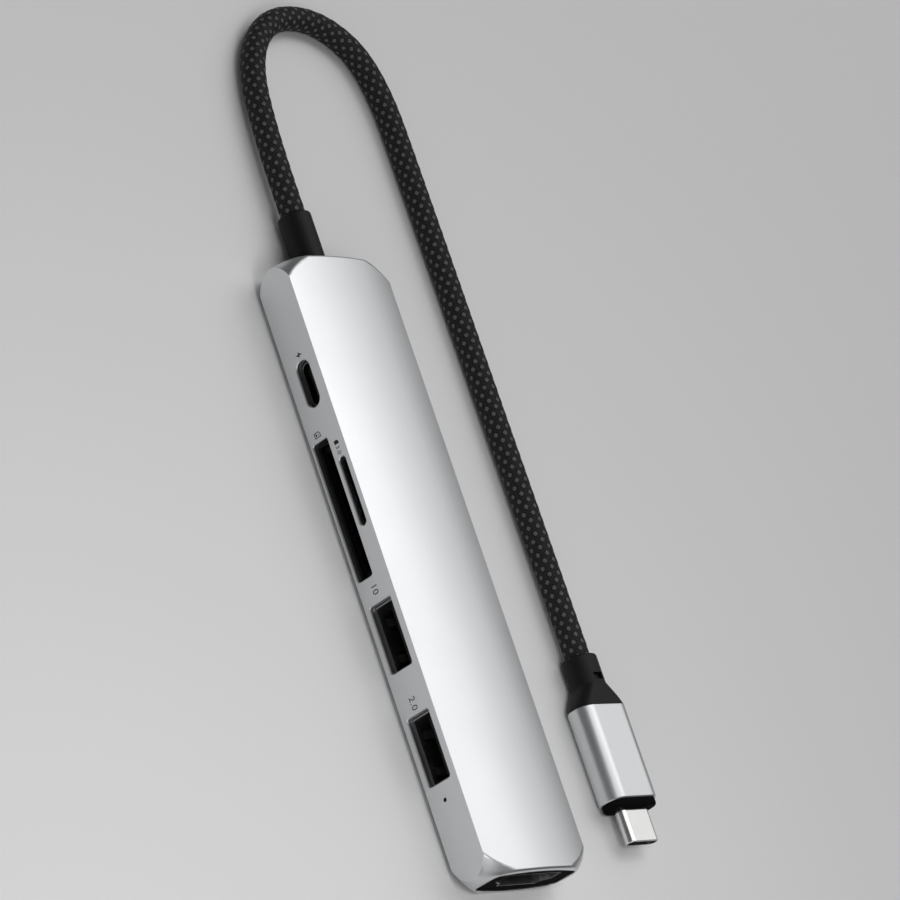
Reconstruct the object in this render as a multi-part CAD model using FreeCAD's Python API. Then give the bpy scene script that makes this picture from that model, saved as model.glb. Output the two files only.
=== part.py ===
"""USB hub: a slim crowned aluminium bar with its ports on one long side, an HDMI socket in one end
and a short braided lead with a USB-C plug at the other. Millimetres, +Z up.

X runs along the bar, +X towards the HDMI end. -Y is the port face. The origin is the middle of the
bar's underside, so the bar, the lead and the plug all lie on z = 0.
"""
import FreeCAD, Part
import math
import os

os.makedirs("parts", exist_ok=True)
V = FreeCAD.Vector

# ---- driving dimensions ---------------------------------------------------------------------
LENGTH = 125.0            # bar, end face to end face
WIDTH = 27.0              # bar, port face to back face
MID_Z = 5.5               # height of the bar's middle plane
FACE_HALF = 4.27          # half the height of the flat port face
CROWN_HALF = 5.7          # middle plane to the top of the crown
WALL = 1.3                # port wall thickness

HALF_L = LENGTH / 2
HALF_W = WIDTH / 2
PORT_Y = -HALF_W          # outer plane of the port face
INNER_Y = PORT_Y + WALL   # where the sockets start

CAVITY = (12.2, 3.9, 4.7)     # half width, half height at the sides, half height in the middle
CAP = (10.74, 3.2, 4.7)       # the same three for the end openings
CAP_CORNER = 1.6
CAP_DEPTH = 5.5
CAP_GAP = 0.05
CAP_RECESS = 0.2
CAP_BACK = HALF_L - 4.9       # inner face of both caps

# the four corners: a cut that is narrow at mid height and wide at the crown
CORNER_TIP_X = 0.9            # its width along the port face, at mid height
CORNER_TIP_Y = 2.2            # its width along the end face, at mid height
CORNER_RISE = 5.0             # vertical radius of its section
CORNER_RUN_X = 7.07           # radius of its section along X, in the port face
CORNER_RUN_Y = 4.53           # radius of its section along Y, in the end face
CORNER_BULGE = 0.07           # outward bow of the cut, as a share of its width
CREASE_RADIUS = 1.0           # softening between the corner cuts and the crown
END_RADIUS = 0.5              # softening between the crown and the end faces
CORNER_TURN = 68.0            # angle where the port face section becomes straight
EASE_START_Z = 4.35           # where the end face section starts to flatten
EASE_RUN = 2.8                # how far along Y it flattens over
EASE_END_SLOPE = 0.14         # its slope where it reaches the crown
LEAVE_SLOPE = 0.2             # and above the crown
# heights from mid height at which the sections of the cut are set out
CORNER_LEVELS = [1.18, 2.31, 3.36, 4.35, 4.64, 4.95, 5.2, 5.42, 5.65, 5.95, 6.4]

# ports on the long face: centre along X, centre height, length, height
USB_C = (-37.7, MID_Z + 0.15, 9.4, 3.4)
SD = (-12.55, MID_Z - 1.7, 28.0, 3.9)
MICRO_SD = (-14.65, MID_Z + 2.2, 13.9, 1.6)
USB_A_FAST = (13.47, MID_Z - 0.2, 13.4, 5.6)
USB_A_SLOW = (35.84, MID_Z - 0.2, 13.4, 5.6)
LED = (45.95, MID_Z - 0.33, 0.8)          # centre along X, height, hole diameter
PORT_CHAMFER = 0.2

# depths and heights of the sockets behind the wall
USB_A_DEPTH = 13.7
USB_C_DEPTH = 7.3
SD_DEPTH = 21.6
SD_Z = (1.95, 5.85)
MICRO_DEPTH = 15.5
MICRO_Z = (6.75, 8.55)
MICRO_SPRING_Z = 7.62

# main board
BOARD_X = (-50.0, 56.8)
BOARD_Y = (-11.2, 10.2)
BOARD_Z = (5.9, 6.7)

INNER_BACK = HALF_W - WALL - 0.1

# lead
CORD_D = 5.0
BOOT_D = 6.6
NECK_D = 5.0
WIRE_D = 0.7
CORD_EXIT_Z = MID_Z - 1.7
BOOT_END_X = -74.7
CORD_POINTS = [
    (-74.7, 0.0, 3.8), (-91.0, 0.0, 3.6), (-110.1, 3.1, 2.95), (-120.9, 13.2, 2.75),
    (-121.2, 28.0, 2.65), (-110.9, 38.4, 2.6), (-82.0, 38.65, 2.55), (-31.5, 38.4, 2.7),
    (18.1, 37.75, 3.3)]

# plug
PLUG_Y = 37.75
PLUG_Z = 3.3
PLUG_BOOT_X = 18.1            # where the cord enters
SHELL_X = (28.6, 47.75)       # aluminium sleeve
SHELL_W = 13.1
SHELL_H = 6.3
SHELL_CORNER = 2.8
PLUG_FLARE_X = 24.2           # where the boot starts to widen
FLARE_SECTIONS = [            # along X: width, height, corner radius
    (PLUG_FLARE_X, 7.2, 6.5, 3.0), (25.6, 9.2, 6.45, 2.95), (27.2, 11.5, 6.35, 2.9),
    (SHELL_X[0], 12.9, 6.2, 2.75)]
COLLAR_X = 49.3
PLUG_TIP_X = 55.95
PLUG_METAL = (8.25, 2.4)      # USB-C plug shell, width and height


# ---- plane outlines and prisms --------------------------------------------------------------
def rounded_outline(width, height, radius):
    """Closed wire round the origin in XY; radius = height / 2 makes a stadium."""
    if radius <= 0:
        a, b = width / 2, height / 2
        return Part.makePolygon([V(-a, -b), V(a, -b), V(a, b), V(-a, b), V(-a, -b)])
    a = width / 2 - radius
    b = height / 2 - radius
    diag = radius / math.sqrt(2)
    edges = []
    corners = [(a, b, 1, 1), (-a, b, -1, 1), (-a, -b, -1, -1), (a, -b, 1, -1)]
    for i, (cx, cy, sx, sy) in enumerate(corners):
        on_x = V(cx + sx * radius, cy)
        on_y = V(cx, cy + sy * radius)
        start, stop = (on_x, on_y) if sx * sy > 0 else (on_y, on_x)
        edges.append(Part.Arc(start, V(cx + sx * diag, cy + sy * diag), stop).toShape())
        nx, ny, nsx, nsy = corners[(i + 1) % 4]
        next_x = V(nx + nsx * radius, ny)
        next_y = V(nx, ny + nsy * radius)
        following = next_x if nsx * nsy > 0 else next_y
        if stop.distanceToPoint(following) > 1e-6:
            edges.append(Part.makeLine(stop, following))
    return Part.Wire(edges)


def crowned_outline(half_width, side_half, mid_half):
    """Closed wire with upright sides and an arc over and under."""
    right_low = V(half_width, -side_half)
    right_high = V(half_width, side_half)
    left_high = V(-half_width, side_half)
    left_low = V(-half_width, -side_half)
    return Part.Wire([
        Part.makeLine(right_low, right_high),
        Part.Arc(right_high, V(0, mid_half), left_high).toShape(),
        Part.makeLine(left_high, left_low),
        Part.Arc(left_low, V(0, -mid_half), right_low).toShape(),
    ])


def lens_outline(half_width, side_half, mid_half, radius):
    """Crowned outline with its four corners rounded, as a closed wire in XY."""
    face = Part.Face(crowned_outline(half_width, side_half, mid_half))
    slab = face.extrude(V(0, 0, 1))
    slab = slab.makeFillet(radius, [e for e in slab.Edges if e.BoundBox.ZLength > 0.5])
    bottom = [f for f in slab.Faces if f.BoundBox.ZMax < 0.001]
    return bottom[0].OuterWire


def hdmi_outline(width, height, foot, step):
    """HDMI outline: full width above, narrower foot below with slanted flanks."""
    a, b, c = width / 2, height / 2, foot / 2
    points = [V(a, b), V(-a, b), V(-a, -b + step), V(-c - 0.4, -b + step * 0.55),
              V(-c, -b), V(c, -b), V(c + 0.4, -b + step * 0.55), V(a, -b + step), V(a, b)]
    return Part.makePolygon(points)


def along_x(outline, start, stop, y=0.0, z=0.0):
    """Prism along X: the outline's first axis is Y and its second is Z."""
    solid = Part.Face(outline).extrude(V(0, 0, stop - start))
    solid.translate(V(0, 0, start))
    solid.Placement = FreeCAD.Placement(V(0, y, z), FreeCAD.Rotation(V(1, 1, 1), 120)).multiply(
        solid.Placement)
    return solid


def along_y(outline, start, stop, x=0.0, z=0.0):
    """Prism along Y: the outline's first axis is X and its second is Z."""
    solid = Part.Face(outline).extrude(V(0, 0, stop - start))
    solid.translate(V(0, 0, -stop))
    solid.Placement = FreeCAD.Placement(V(x, 0, z), FreeCAD.Rotation(V(1, 0, 0), 90)).multiply(
        solid.Placement)
    return solid


def box(x, y, z):
    """Box from three (low, high) pairs."""
    return Part.makeBox(x[1] - x[0], y[1] - y[0], z[1] - z[0], V(x[0], y[0], z[0]))


def block(x, y, z, size):
    """Box centred at (x, y) that stands on z."""
    return box((x - size[0] / 2, x + size[0] / 2), (y - size[1] / 2, y + size[1] / 2),
               (z, z + size[2]))


def rod(start, stop, diameter):
    """Cylinder between two points."""
    return Part.makeCylinder(diameter / 2, start.distanceToPoint(stop), start, stop.sub(start))


def export(name, *solids):
    """Write one node; several solids share it as a group."""
    shape = solids[0] if len(solids) == 1 else Part.makeCompound(list(solids))
    if not shape.isValid():
        raise ValueError(name + " is not a valid shape")
    shape.exportStep("parts/" + name + ".step")
    print(name, len(shape.Solids), "solids, volume %.1f" % shape.Volume)


# ---- casing ---------------------------------------------------------------------------------
def port_inset(z):
    """How far the corner cut reaches along the port face, at a height from mid height."""
    turn = math.radians(CORNER_TURN)
    bend_z = CORNER_RISE * math.sin(turn)
    inset = CORNER_TIP_X + CORNER_RUN_X * (1 - math.sqrt(1 - (min(z, bend_z) / CORNER_RISE) ** 2))
    slope = CORNER_RUN_X * math.tan(turn) / CORNER_RISE
    return inset + slope * max(0.0, z - bend_z)


def end_inset(z):
    """The same along the end face, where the cut flattens out into the crown."""
    if z <= EASE_START_Z:
        return CORNER_TIP_Y + CORNER_RUN_Y * (1 - math.sqrt(1 - (z / CORNER_RISE) ** 2))
    start = end_inset(EASE_START_Z)
    steep = CORNER_RISE * math.sqrt(CORNER_RISE ** 2 - EASE_START_Z ** 2)
    steep /= CORNER_RUN_Y * EASE_START_Z
    bend = (steep - EASE_END_SLOPE) / (2 * EASE_RUN)
    end_z = EASE_START_Z + EASE_RUN * (steep + EASE_END_SLOPE) / 2
    if z >= end_z:
        return start + EASE_RUN + (z - end_z) / LEAVE_SLOPE
    return start + (steep - math.sqrt(steep ** 2 - 4 * bend * (z - EASE_START_Z))) / (2 * bend)


def corner_sections():
    """Sections of the corner cut in the port face, half way round, and in the end face."""
    heights = [-z for z in reversed(CORNER_LEVELS)] + [0.0] + CORNER_LEVELS
    on_port = []
    between = []
    on_end = []
    for z in heights:
        inset_x = port_inset(abs(z))
        inset_y = end_inset(abs(z))
        on_port.append(V(HALF_L - inset_x, -HALF_W, MID_Z + z))
        on_end.append(V(HALF_L, -HALF_W + inset_y, MID_Z + z))
        bulge = V(inset_y, -inset_x, 0) * CORNER_BULGE
        between.append((on_port[-1] + on_end[-1]) * 0.5 + bulge)
    curves = []
    for knots in (on_port, between, on_end):
        curve = Part.BSplineCurve()
        curve.interpolate(Points=knots)
        curves.append(curve.toShape())
    return curves


def corner_cut():
    """Solid removed at the +X, -Y corner: a wedge between the port face and the end face."""
    on_port, between, on_end = corner_sections()
    bulged = Part.makeLoft([Part.Wire([edge]) for edge in (on_port, between, on_end)],
                           False, False)
    faces = list(bulged.Faces)
    low_corner = V(HALF_L, -HALF_W, on_port.Vertexes[0].Z)
    high_corner = V(HALF_L, -HALF_W, on_port.Vertexes[-1].Z)
    for edge in (on_port, on_end):
        low_edge = Part.makeLine(low_corner, edge.Vertexes[0].Point)
        high_edge = Part.makeLine(edge.Vertexes[-1].Point, high_corner)
        upright = Part.makeLine(high_corner, low_corner)
        faces.append(Part.Face(Part.Wire([low_edge, edge, high_edge, upright])))
    for end, corner in ((0, low_corner), (-1, high_corner)):
        across = [e for e in bulged.Edges if abs(e.BoundBox.ZMin - corner.z) < 0.01
                  and e.BoundBox.ZLength < 0.01]
        ahead = Part.makeLine(corner, on_port.Vertexes[end].Point)
        back = Part.makeLine(corner, on_end.Vertexes[end].Point)
        faces.append(Part.Face(Part.Wire(Part.sortEdges([ahead, back] + across)[0])))
    shell = Part.makeShell(faces)
    shell.sewShape()
    solid = Part.Solid(Part.Shell(shell.Faces))
    if solid.Volume < 0:
        solid.reverse()
    return solid


def four_corners(solid):
    """The solid at all four corners of the bar."""
    other_end = solid.mirror(V(0, 0, 0), V(1, 0, 0))
    pair = [solid, other_end]
    return pair + [s.mirror(V(0, 0, 0), V(0, 1, 0)) for s in pair]


def is_crease(edge):
    """Where a corner cut meets the crown, above and below."""
    bounds = edge.BoundBox
    slanted = bounds.XLength > 1 and bounds.YLength > 1
    return slanted and abs(edge.CenterOfMass.z - MID_Z) > 4.2


def is_end_arc(edge):
    """Where the crown and the softened creases meet an end face, above and below."""
    bounds = edge.BoundBox
    at_end = abs(abs(bounds.XMin) - HALF_L) < 0.01 and bounds.XLength < 0.01
    return at_end and bounds.YLength > 0.3 and abs(edge.CenterOfMass.z - MID_Z) > 4.3


def outer_body():
    """The bar's outside: crowned prism, cut corners, a narrow flat to stand on."""
    body = along_x(crowned_outline(HALF_W, FACE_HALF, CROWN_HALF), -HALF_L, HALF_L, z=MID_Z)
    body = body.cut(four_corners(corner_cut()))
    body = body.makeFillet(CREASE_RADIUS, [e for e in body.Edges if is_crease(e)])
    body = body.makeFillet(END_RADIUS, [e for e in body.Edges if is_end_arc(e)])
    return body.cut(box((-HALF_L - 1, HALF_L + 1), (-HALF_W, HALF_W), (-2, 0)))


def port_cutters(start, stop):
    """Every opening in the port wall, as prisms from start to stop along Y."""
    cuts = []
    for x, z, length, height in (USB_C, MICRO_SD):
        cuts.append(along_y(rounded_outline(length, height, height / 2), start, stop, x, z))
    for x, z, length, height in (SD, USB_A_FAST, USB_A_SLOW):
        cuts.append(along_y(rounded_outline(length, height, 0.5), start, stop, x, z))
    led = Part.makeCylinder(LED[2] / 2, stop - start, V(LED[0], start, LED[1]), V(0, 1, 0))
    cuts.append(led)
    return cuts


def casing():
    body = outer_body()
    middle = HALF_L - CAP_DEPTH
    body = body.cut(along_x(crowned_outline(*CAVITY), -middle, middle, z=MID_Z))
    opening = lens_outline(*CAP, CAP_CORNER)
    body = body.cut(along_x(opening, -HALF_L - 1, HALF_L + 1, z=MID_Z))
    body = body.cut(port_cutters(PORT_Y - 1, INNER_Y + 1))
    rims = [e for e in body.Edges
            if abs(e.BoundBox.YMin - PORT_Y) < 0.01 and e.BoundBox.YLength < 0.01
            and abs(e.CenterOfMass.z - MID_Z) < 3.9 and e.CenterOfMass.x > 12 - HALF_L
            and e.CenterOfMass.x < LED[0] - 1 and e.BoundBox.XLength < 40]
    body = body.makeChamfer(PORT_CHAMFER, rims)
    export("casing", body)


# ---- end caps and the boot ------------------------------------------------------------------
def cap(end, hole):
    """Black lens-shaped cap that closes one end; end is +1 or -1."""
    half_w, side, mid = CAP
    face = end * (HALF_L - CAP_RECESS)
    back = end * CAP_BACK
    outline = lens_outline(half_w - CAP_GAP, side - CAP_GAP, mid - CAP_GAP, CAP_CORNER)
    body = along_x(outline, min(face, back), max(face, back), z=MID_Z)
    return body.cut(hole)


def cable_end():
    """Cap with the cable hole, and the boot whose neck and flange sit in it."""
    hole = rod(V(-HALF_L - 2, 0, CORD_EXIT_Z), V(-CAP_BACK + 2, 0, CORD_EXIT_Z), NECK_D + 0.1)
    export("cable_end_cap", cap(-1, hole))
    face_x = -HALF_L
    boot = rod(V(BOOT_END_X, 0, CORD_EXIT_Z), V(face_x, 0, CORD_EXIT_Z), BOOT_D)
    mouth = [e for e in boot.Edges if abs(e.CenterOfMass.x - BOOT_END_X) < 0.01]
    boot = boot.makeFillet(0.5, mouth)
    neck = rod(V(face_x, 0, CORD_EXIT_Z), V(-CAP_BACK, 0, CORD_EXIT_Z), NECK_D)
    flange = along_x(rounded_outline(9.0, 5.5, 1.2), -CAP_BACK, -CAP_BACK + 1.4, z=CORD_EXIT_Z)
    export("hub_strain_relief", boot.fuse([neck, flange]).removeSplitter())


def cable_inside():
    """Crimp ring behind the boot and the wires that rise to the board."""
    start = -CAP_BACK + 1.4
    stop = start + 2.2
    ring = rod(V(start, 0, CORD_EXIT_Z), V(stop, 0, CORD_EXIT_Z), 5.2)
    ring = ring.cut(rod(V(start - 1, 0, CORD_EXIT_Z), V(stop + 1, 0, CORD_EXIT_Z), 4.3))
    export("cable_crimp", ring)
    wires = []
    for row, height in ((-0.75, -0.8), (0.75, 0.8)):
        for column in (-1.2, 0.0, 1.2):
            side = column * 2.4 + row * 1.2
            bend = V(BOARD_X[0] - 1.0, side, BOARD_Z[1] + WIRE_D / 2)
            entry = V(stop + 0.4, column, CORD_EXIT_Z + height)
            wire = rod(V(start, column, CORD_EXIT_Z + height), entry, WIRE_D)
            wire = wire.fuse([rod(entry, bend, WIRE_D), rod(bend, bend + V(3.2, 0, 0), WIRE_D),
                              Part.makeSphere(WIRE_D / 2, entry),
                              Part.makeSphere(WIRE_D / 2, bend)])
            wires.append(wire)
    export("cable_wires", *wires)


# ---- sockets --------------------------------------------------------------------------------
def sleeve(outline, bore, start, stop, x, z, back_wall):
    """Drawn socket shell along Y, open towards the port face."""
    tube = along_y(outline, start, stop, x, z)
    return tube.cut(along_y(bore, start - 1, stop - back_wall, x, z))


def usb_a(prefix, x, z, fast):
    """USB-A socket: shell with springs and legs, tongue with a rear block, contacts."""
    start = INNER_Y + 0.1
    stop = start + USB_A_DEPTH
    width, height, gauge = 13.14, 5.7, 0.3
    shell = sleeve(rounded_outline(width, height, 0.6),
                   rounded_outline(width - 2 * gauge, height - 2 * gauge, 0.35),
                   start, stop, x, z, -1)
    extras = []
    for side in (-3.6, 3.6):
        for top in (-1, 1):
            window = box((x + side - 1.2, x + side + 1.2), (start + 1.4, start + 8.2),
                         sorted((z + top * (height / 2 - 0.6), z + top * (height / 2 + 0.5))))
            shell = shell.cut(window)
            root = V(x + side - 0.8, start + 8.2, z + top * (height / 2 - gauge))
            profile = [root, root + V(0, 0, top * gauge), root + V(0, -4.9, -top * 0.3),
                       root + V(0, -6.4, top * 0.2), root + V(0, -6.4, -top * 0.1),
                       root + V(0, -4.9, -top * 0.6), root]
            extras.append(Part.Face(Part.makePolygon(profile)).extrude(V(1.6, 0, 0)))
    for side in (-1, 1):
        ear = sorted((x + side * (width / 2 - 0.1), x + side * (width / 2 + 0.9)))
        leg = sorted((x + side * (width / 2 + 0.6), x + side * (width / 2 + 0.9)))
        extras.append(box(ear, (start + 4.6, start + 6.2), (BOARD_Z[0] - 0.8, BOARD_Z[0] - 0.5)))
        extras.append(box(leg, (start + 4.6, start + 6.2), (BOARD_Z[0] - 0.8, BOARD_Z[1] + 0.4)))
    export(prefix + "_shell", shell.fuse(extras).removeSplitter())

    tongue_low = z + 0.1
    tongue_top = z + 1.55
    tongue = box((x - 5.6, x + 5.6), (start + 0.9, stop - 3.0), (tongue_low, tongue_top))
    nose = [e for e in tongue.Edges if abs(e.CenterOfMass.y - start - 0.9) < 0.01
            and e.BoundBox.XLength > 5]
    tongue = tongue.makeChamfer(0.3, nose)
    rear = box((x - 6.15, x + 6.15), (stop - 3.2, stop - 0.1), (z - 2.45, z + 2.45))
    export(prefix + "_tongue", tongue.fuse(rear).removeSplitter())

    contacts = []
    for pitch in (-3.5, -1.0, 1.0, 3.5):
        contacts.append(box((x + pitch - 0.5, x + pitch + 0.5), (start + 1.5, stop - 3.6),
                            (tongue_low - 0.15, tongue_low)))
        contacts.append(box((x + pitch - 0.25, x + pitch + 0.25), (stop - 0.1, stop + 1.2),
                            (BOARD_Z[0] - 0.2, BOARD_Z[0])))
    if fast:
        for pitch in (-2.25, 0.0, 2.25):
            contacts.append(box((x + pitch - 0.2, x + pitch + 0.2), (start + 4.5, stop - 3.6),
                                (tongue_low - 0.35, tongue_low)))
            contacts.append(box((x + pitch - 0.2, x + pitch + 0.2), (stop - 0.1, stop + 1.2),
                                (BOARD_Z[0] - 0.2, BOARD_Z[0])))
    export(prefix + "_contacts", *contacts)


def usb_c_port():
    """USB-C socket: oval shell, thin centre tongue on a rear block, two rows of contacts."""
    x, z = USB_C[0], USB_C[1]
    start = INNER_Y + 0.1
    stop = start + USB_C_DEPTH
    shell = sleeve(rounded_outline(8.94, 3.26, 1.63), rounded_outline(8.44, 2.76, 1.38),
                   start, stop, x, z, -1)
    for side in (-1, 1):
        leg = sorted((x + side * 4.3, x + side * 4.9))
        shell = shell.fuse(box(leg, (start + 2.6, start + 3.8), (BOARD_Z[1] - 1.1, BOARD_Z[1] - 0.9)))
    export("usb_c_port_shell", shell.removeSplitter())
    tongue = box((x - 3.35, x + 3.35), (start + 0.5, stop - 1.0), (z - 0.35, z + 0.35))
    rear = along_y(rounded_outline(8.34, 2.66, 1.33), stop - 1.4, stop - 0.1, x, z)
    export("usb_c_port_tongue", tongue.fuse(rear).removeSplitter())
    contacts = []
    for i in range(12):
        pitch = x + 0.5 * (i - 5.5)
        for low, high in ((z + 0.35, z + 0.43), (z - 0.43, z - 0.35)):
            contacts.append(box((pitch - 0.125, pitch + 0.125), (start + 0.9, start + 4.6),
                                (low, high)))
        contacts.append(box((pitch - 0.12, pitch + 0.12), (stop - 0.1, stop + 0.9),
                            (BOARD_Z[0] - 0.15, BOARD_Z[0])))
    export("usb_c_port_contacts", *contacts)


def sd_socket():
    """SD card socket under the board: moulded base, pressed cover, nine contact fingers."""
    x = SD[0]
    start = INNER_Y + 0.1
    stop = start + SD_DEPTH
    low = SD_Z[0]
    high = SD_Z[1]
    base = box((x - 14.0, x + 14.0), (start, stop), (low, high - 0.3))
    slot = box((x - 12.2, x + 12.2), (start - 1, stop - 1.6), (low + 0.6, high + 1))
    funnel = box((x - 13.4, x + 13.4), (start - 1, start + 1.0), (low + 0.3, high + 1))
    base = base.cut([slot, funnel])
    for i in range(9):
        groove = box((x - 9.6 + i * 2.5 - 0.6, x - 9.6 + i * 2.5 + 0.6),
                     (stop - 8.5, stop - 1.7), (low + 0.35, low + 1))
        base = base.cut(groove)
    export("sd_socket_base", base)
    cover = box((x - 14.0, x + 14.0), (start, stop - 0.4), (high - 0.3, high))
    holes = [box((x + side - 1.3, x + side + 1.3), (start + 5, start + 12), (high - 1, high + 1))
             for side in (-9.0, 9.0)]
    export("sd_socket_cover", cover.cut(holes))
    fingers = []
    for i in range(9):
        left = x - 9.6 + i * 2.5 - 0.4
        profile = [V(left, stop - 1.7, low + 0.4), V(left, stop - 1.7, low + 0.6),
                   V(left, stop - 5.6, low + 1.2), V(left, stop - 7.6, low + 0.8),
                   V(left, stop - 7.6, low + 0.6), V(left, stop - 5.6, low + 1.0),
                   V(left, stop - 3.0, low + 0.4), V(left, stop - 1.7, low + 0.4)]
        fingers.append(Part.Face(Part.makePolygon(profile)).extrude(V(0.8, 0, 0)))
    export("sd_socket_contacts", *fingers)


def micro_sd_socket():
    """MicroSD socket on top of the board, with a sprung slider that pushes the card out."""
    x = MICRO_SD[0]
    start = INNER_Y + 0.1
    stop = start + MICRO_DEPTH
    low, high = MICRO_Z
    left, right = x - 7.0, x + 7.0
    base = box((left, right), (start, stop), (low, high - 0.2))
    card = box((left + 1.2, right - 2.3), (start - 1, stop - 0.6), (low + 0.35, high + 1))
    track = box((right - 2.4, right - 0.7), (start + 3.0, stop - 0.6), (low + 0.35, high + 1))
    mouth = box((left + 0.8, right - 1.9), (start - 1, start + 0.6), (low + 0.25, high + 1))
    export("microsd_base", base.cut([card, track, mouth]))
    cover = box((left, right), (start, stop - 0.3), (high - 0.2, high))
    window = box((left + 2.5, left + 8.5), (start + 6.5, start + 9.5), (high - 1, high + 1))
    export("microsd_cover", cover.cut(window))
    fingers = []
    for i in range(8):
        pitch = left + 2.2 + i * 1.1
        profile = [V(pitch, stop - 0.6, low + 0.35), V(pitch, stop - 0.6, low + 0.5),
                   V(pitch, stop - 2.6, low + 0.8), V(pitch, stop - 3.6, low + 0.5),
                   V(pitch, stop - 3.6, low + 0.35), V(pitch, stop - 2.6, low + 0.65),
                   V(pitch, stop - 1.6, low + 0.35), V(pitch, stop - 0.6, low + 0.35)]
        fingers.append(Part.Face(Part.makePolygon(profile)).extrude(V(0.5, 0, 0)))
    export("microsd_contacts", *fingers)

    lane = (right - 2.25, right - 0.8)
    rest_y = start + 3.2
    body = box(lane, (rest_y, rest_y + 4.2), (low + 0.45, high - 0.35))
    arm = box((right - 3.6, right - 2.2), (rest_y + 2.6, rest_y + 3.6), (low + 0.9, high - 0.35))
    peg = rod(V(sum(lane) / 2, rest_y + 4.2, MICRO_SPRING_Z),
              V(sum(lane) / 2, rest_y + 5.0, MICRO_SPRING_Z), 0.5)
    export("microsd_slider", body.fuse([arm, peg]).removeSplitter())
    spring_y = rest_y + 4.2
    length = stop - 0.6 - spring_y
    helix = Part.makeHelix(length / 8.0, length - 0.2, 0.42)
    wire_start = Part.Wire(Part.makeCircle(0.07, V(0.42, 0, 0), V(0, 1, 0)))
    coil = Part.Wire(helix).makePipeShell([wire_start], True, True)
    coil.Placement = FreeCAD.Placement(V(sum(lane) / 2, spring_y + length - 0.1, MICRO_SPRING_Z),
                                       FreeCAD.Rotation(V(1, 0, 0), 90))
    export("microsd_spring", coil)


def hdmi_end():
    """HDMI cap, socket shell through it, tongue with a rear block, contacts."""
    outer = hdmi_outline(15.0, 5.5, 10.6, 2.2)
    hole = along_x(hdmi_outline(15.1, 5.6, 10.7, 2.2), CAP_BACK - 1, HALF_L + 1, z=MID_Z)
    export("hdmi_end_cap", cap(1, hole))
    start, stop = 50.0, HALF_L - CAP_RECESS - 0.1
    shell = along_x(outer, start, stop, z=MID_Z)
    shell = shell.cut(along_x(hdmi_outline(14.4, 4.9, 10.1, 2.0), start - 1, stop + 1, z=MID_Z))
    extras = []
    for side in (-1, 1):
        leg = sorted((side * 7.4, side * 8.6))
        extras.append(box((53.0, 54.4), leg, (BOARD_Z[0] - 0.4, BOARD_Z[0])))
        for top in (-1, 1):
            width = 1.2 if top > 0 else 1.0
            centre = side * (4.2 if top > 0 else 2.6)
            window = box((stop - 7.0, stop - 2.4), (centre - width, centre + width),
                         sorted((MID_Z + top * 2.2, MID_Z + top * 3.2)))
            shell = shell.cut(window)
            root = V(stop - 7.0, centre - width + 0.3, MID_Z + top * 2.45)
            profile = [root, root + V(0, 0, top * 0.3), root + V(3.2, 0, -top * 0.15),
                       root + V(4.2, 0, top * 0.1), root + V(4.2, 0, -top * 0.15),
                       root + V(3.2, 0, -top * 0.4), root]
            blade = Part.Face(Part.makePolygon(profile)).extrude(V(0, 2 * width - 0.6, 0))
            extras.append(blade)
    export("hdmi_shell", shell.fuse(extras).removeSplitter())
    tongue = box((start + 2.0, stop - 1.2), (-5.6, 5.6), (MID_Z - 0.1, MID_Z + 1.2))
    rear = along_x(hdmi_outline(14.3, 4.8, 10.0, 2.0), start + 0.2, start + 3.0, z=MID_Z)
    export("hdmi_tongue", tongue.fuse(rear).removeSplitter())
    contacts = []
    for i in range(10):
        y = (i - 4.5) * 1.0
        contacts.append(box((start + 3.4, stop - 2.0), (y - 0.2, y + 0.2),
                            (MID_Z + 1.2, MID_Z + 1.32)))
        if i < 9:
            contacts.append(box((start + 3.4, stop - 2.0), (y + 0.3, y + 0.7),
                                (MID_Z - 0.22, MID_Z - 0.1)))
        contacts.append(box((start - 1.2, start + 0.2), (y - 0.15, y + 0.15),
                            (BOARD_Z[1], BOARD_Z[1] + 0.15)))
    export("hdmi_contacts", *contacts)


# ---- board and what stands on it --------------------------------------------------------------
def main_board():
    """Board with notches for the sockets that sit half sunk in it."""
    board = box(BOARD_X, BOARD_Y, BOARD_Z)
    start = INNER_Y - 1
    notches = []
    for x in (USB_A_FAST[0], USB_A_SLOW[0]):
        notches.append(box((x - 6.7, x + 6.7), (start, INNER_Y + 0.2 + USB_A_DEPTH),
                           (BOARD_Z[0] - 1, BOARD_Z[1] + 1)))
        for side in (-1, 1):
            slot = sorted((x + side * 7.05, x + side * 7.6))
            notches.append(box(slot, (start + 5.5, start + 7.6), (BOARD_Z[0] - 1, BOARD_Z[1] + 1)))
    notches.append(box((USB_C[0] - 4.6, USB_C[0] + 4.6), (start, INNER_Y + 0.2 + USB_C_DEPTH),
                       (BOARD_Z[0] - 1, BOARD_Z[1] + 1)))
    notches.append(box((49.9, 60), (-7.6, 7.6), (BOARD_Z[0] - 1, BOARD_Z[1] + 1)))
    for x in (-47.5, 47.0):
        notches.append(rod(V(x, 8.2, 0), V(x, 8.2, 10), 1.8))
    export("main_board", board.cut(notches))
    rail = box((-50.0, 56.8), (9.2, INNER_BACK), (2.1, 8.9))
    groove = box((-51, 57), (9.0, BOARD_Y[1] + 0.05), (BOARD_Z[0] - 0.05, BOARD_Z[1] + 0.05))
    hollow = [box((x, x + 8.6), (9.0, 11.4), (2.9, 5.0)) for x in range(5, 55, 10)]
    relief = box((SD[0] - 14.3, SD[0] + 14.3), (9.0, 10.3), (1, BOARD_Z[0] - 0.3))
    holes = [rod(V(x, 8.2, 0), V(x, 8.2, 10), 2.8) for x in (-47.5, 47.0)]
    export("board_rail", rail.cut([groove, relief] + hollow + holes))


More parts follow.
